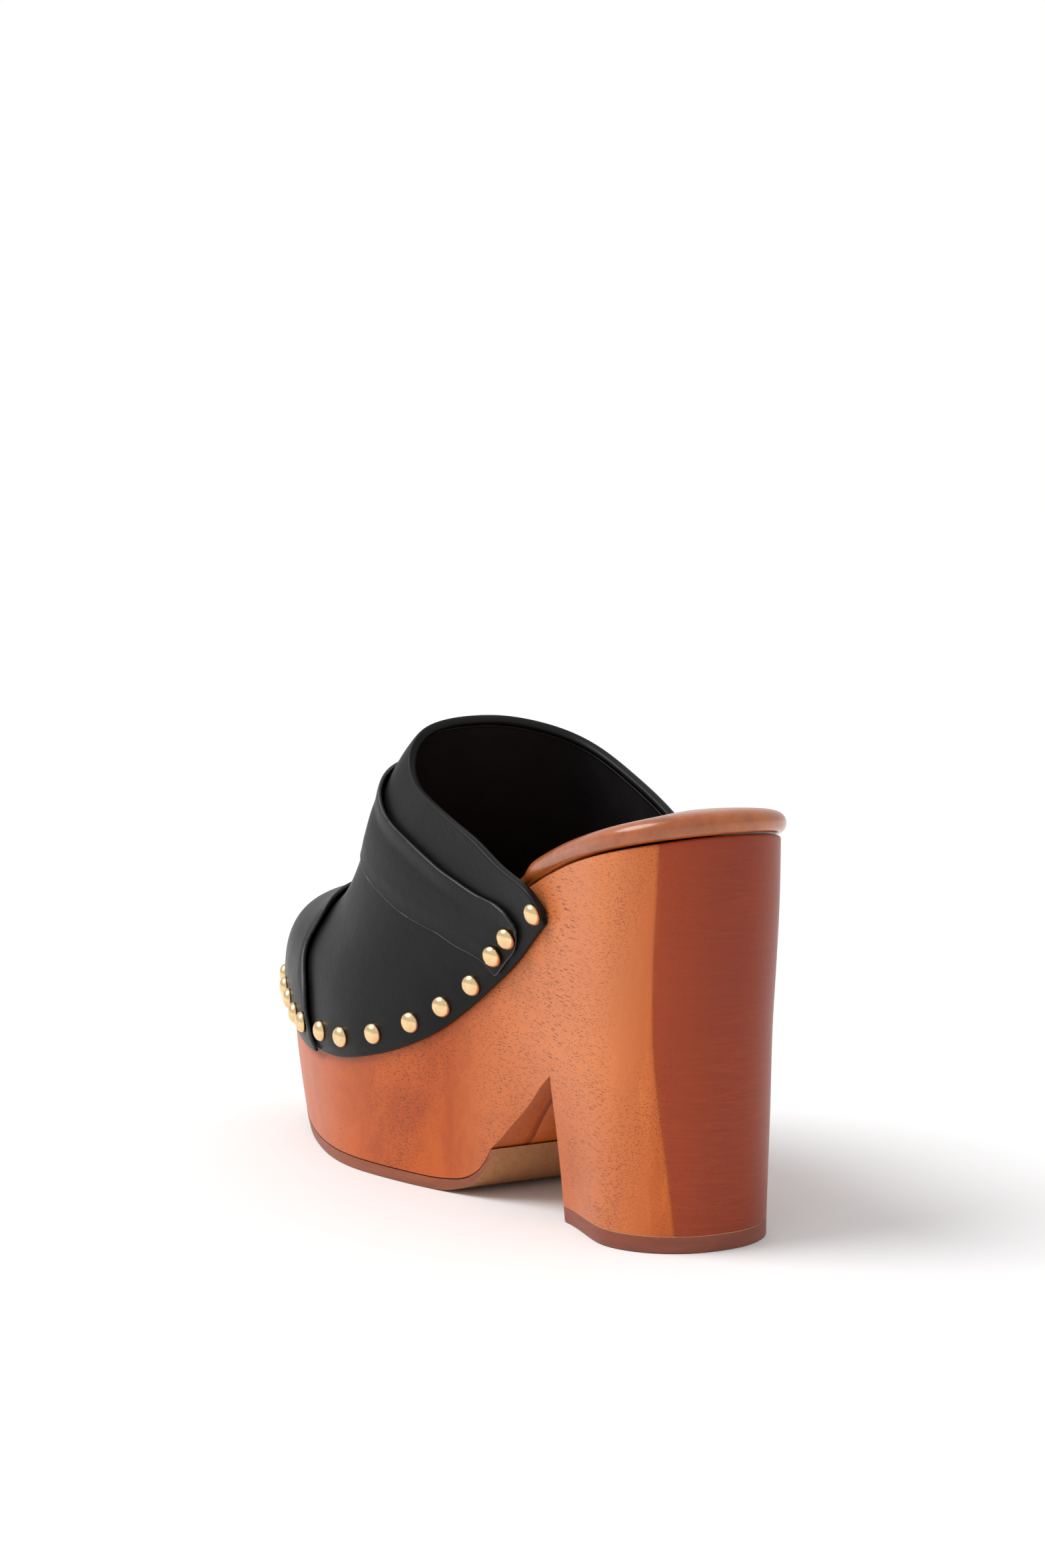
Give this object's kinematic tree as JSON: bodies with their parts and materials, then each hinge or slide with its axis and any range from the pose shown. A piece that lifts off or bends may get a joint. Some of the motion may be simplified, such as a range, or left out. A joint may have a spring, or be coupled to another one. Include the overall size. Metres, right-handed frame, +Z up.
{
  "type": "wooden clog",
  "caption": "High-heeled platform mule clog for the left foot: laminated wooden sole with a block heel, overlaid leather upper, domed nails along its edge, padded leather sock.",
  "frame": {"origin": "bottom centre of the bounding box, on the floor the shoe stands on", "axes": "-Y towards the toe, +X towards the wearer's left (the outer side of this left shoe), +Z up"},
  "size_m": [0.0984, 0.2484, 0.1396],
  "materials": {
    "wood_light": "stained and satin lacquered hardwood",
    "wood_dark": "stained and satin lacquered hardwood, darker plank",
    "outsole_rubber": "satin brown rubber",
    "lift_rubber": "satin brown rubber",
    "steel": "plain wire nail",
    "foam": "open-cell foam",
    "tan_leather": "glossy vegetable-tanned leather",
    "lining_leather": "matte",
    "black_leather": "satin smooth leather",
    "gold_brass": "polished"
  },
  "bodies": {
    "root": {"sole_plank_lateral": "wood_light", "sole_plank_medial": "wood_dark", "outsole_forepart": "outsole_rubber", "heel_top_lift": "lift_rubber", "lift_nail_1": "steel", "lift_nail_2": "steel", "lift_nail_3": "steel", "lift_nail_4": "steel", "footbed_pad": "foam", "sock_cover": "tan_leather", "lining": "lining_leather", "vamp": "black_leather", "toe_cap": "black_leather", "instep_band": "black_leather", "nail_lateral_01": "gold_brass", "nail_lateral_02": "gold_brass", "nail_lateral_03": "gold_brass", "nail_lateral_04": "gold_brass", "nail_lateral_05": "gold_brass", "nail_lateral_06": "gold_brass", "nail_lateral_07": "gold_brass", "nail_lateral_08": "gold_brass", "nail_lateral_09": "gold_brass", "nail_lateral_10": "gold_brass", "nail_lateral_11": "gold_brass", "nail_lateral_12": "gold_brass", "nail_lateral_13": "gold_brass", "nail_medial_01": "gold_brass", "nail_medial_02": "gold_brass", "nail_medial_03": "gold_brass", "nail_medial_04": "gold_brass", "nail_medial_05": "gold_brass", "nail_medial_06": "gold_brass", "nail_medial_07": "gold_brass", "nail_medial_08": "gold_brass", "nail_medial_09": "gold_brass", "nail_medial_10": "gold_brass", "nail_medial_11": "gold_brass", "nail_medial_12": "gold_brass", "nail_medial_13": "gold_brass", "nail_toe_01": "gold_brass", "nail_toe_02": "gold_brass", "nail_toe_03": "gold_brass", "nail_toe_04": "gold_brass", "nail_toe_05": "gold_brass"}
  },
  "joints": []
}
